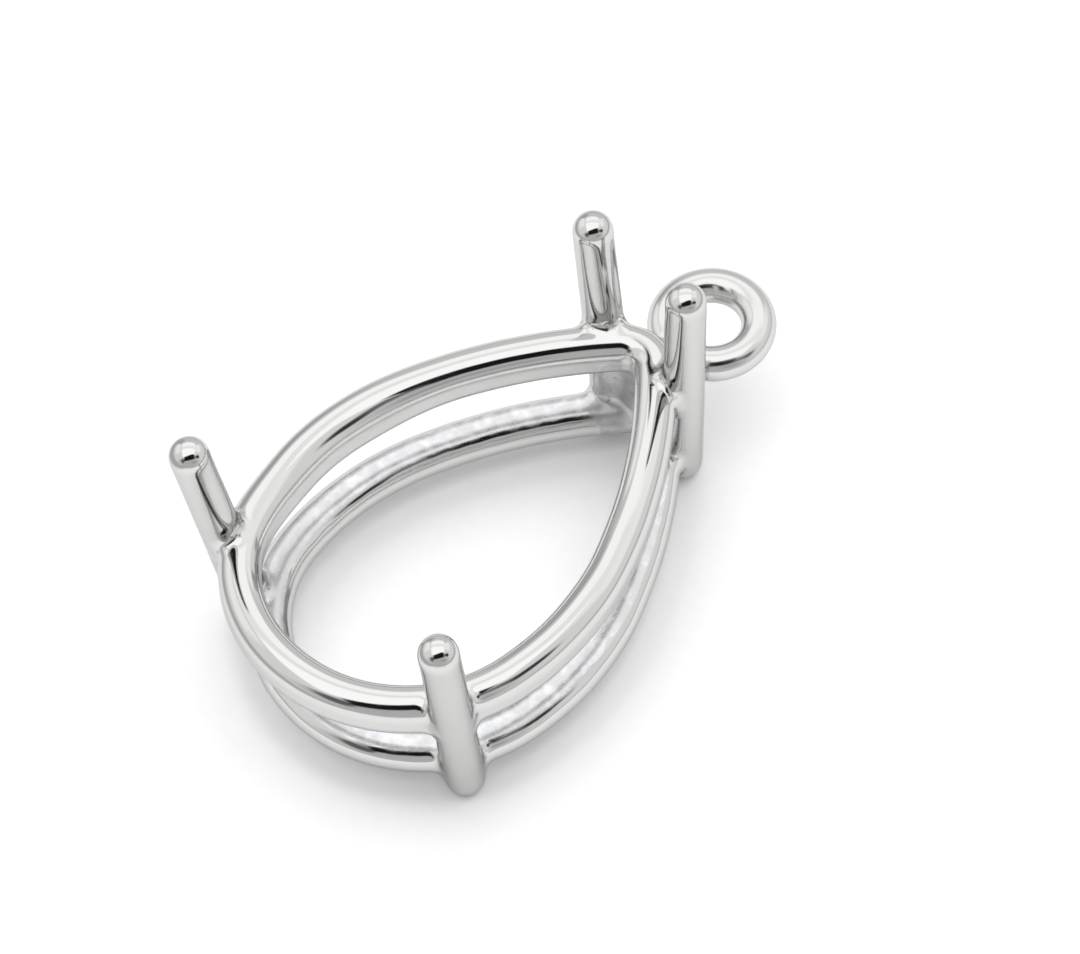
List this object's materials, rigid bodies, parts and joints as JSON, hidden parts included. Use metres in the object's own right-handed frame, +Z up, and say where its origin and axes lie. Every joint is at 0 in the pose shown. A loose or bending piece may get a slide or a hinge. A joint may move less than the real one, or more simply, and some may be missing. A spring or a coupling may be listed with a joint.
{
  "type": "semi-mount pendant setting",
  "caption": "Empty pear-shaped pendant setting: two stacked gallery rails, round-wire claws outside them and a closed hanging ring soldered flat at the point.",
  "frame": {"origin": "on the surface that the four claw feet stand on, under the middle of the setting's length and width", "axes": "+Z up from the feet to the claw tips, +Y from the round end to the point and the hanging ring, +X across; the setting mirrors in the plane x = 0"},
  "size_m": [0.011, 0.0201, 0.0101],
  "materials": {
    "silver": "sterling silver with a bright rhodium plate, cast, soldered and mirror-polished"
  },
  "bodies": {
    "root": {"setting": "silver"}
  },
  "joints": []
}
